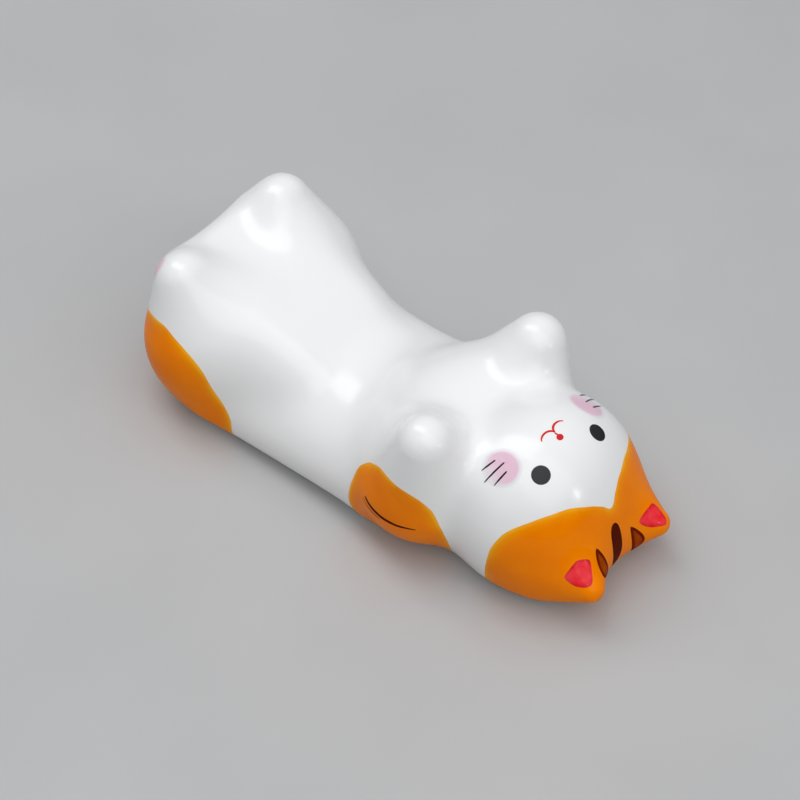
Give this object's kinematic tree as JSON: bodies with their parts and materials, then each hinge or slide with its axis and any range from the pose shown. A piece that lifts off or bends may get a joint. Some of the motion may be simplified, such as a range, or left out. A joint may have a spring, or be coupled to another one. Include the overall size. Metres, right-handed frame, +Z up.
{
  "type": "chopstick rest",
  "caption": "Glazed porcelain chopstick rest in the form of a cat lying on its back, with a dip across the belly between arms and hind legs and painted enamel markings.",
  "frame": {"origin": "on the flat foot that stands on the table, in the middle plane, under the dip that holds the chopsticks", "axes": "+X towards the cat's head and ears, +Z up through the belly, -Y towards the cat's left side"},
  "size_m": [0.0647, 0.0299, 0.0209],
  "materials": {
    "porcelain": "gloss",
    "amber_enamel": "gloss",
    "umber_enamel": "gloss",
    "black_enamel": "gloss",
    "rose_enamel": "gloss",
    "scarlet_enamel": "gloss",
    "coral_enamel": "gloss"
  },
  "bodies": {
    "root": {"porcelain_body": "porcelain", "head_patch": "amber_enamel", "elbow_patch": "amber_enamel", "rump_patch": "amber_enamel", "elbow_line": "umber_enamel", "left_eye": "black_enamel", "right_eye": "black_enamel", "left_cheek": "rose_enamel", "right_cheek": "rose_enamel", "nose": "scarlet_enamel", "mouth": "scarlet_enamel", "left_whiskers": "black_enamel", "right_whiskers": "black_enamel", "middle_stripe": "umber_enamel", "left_stripe": "umber_enamel", "right_stripe": "umber_enamel", "left_ear_lining": "coral_enamel", "right_ear_lining": "coral_enamel", "left_paw_pad": "rose_enamel", "right_paw_pad": "rose_enamel"}
  },
  "joints": []
}
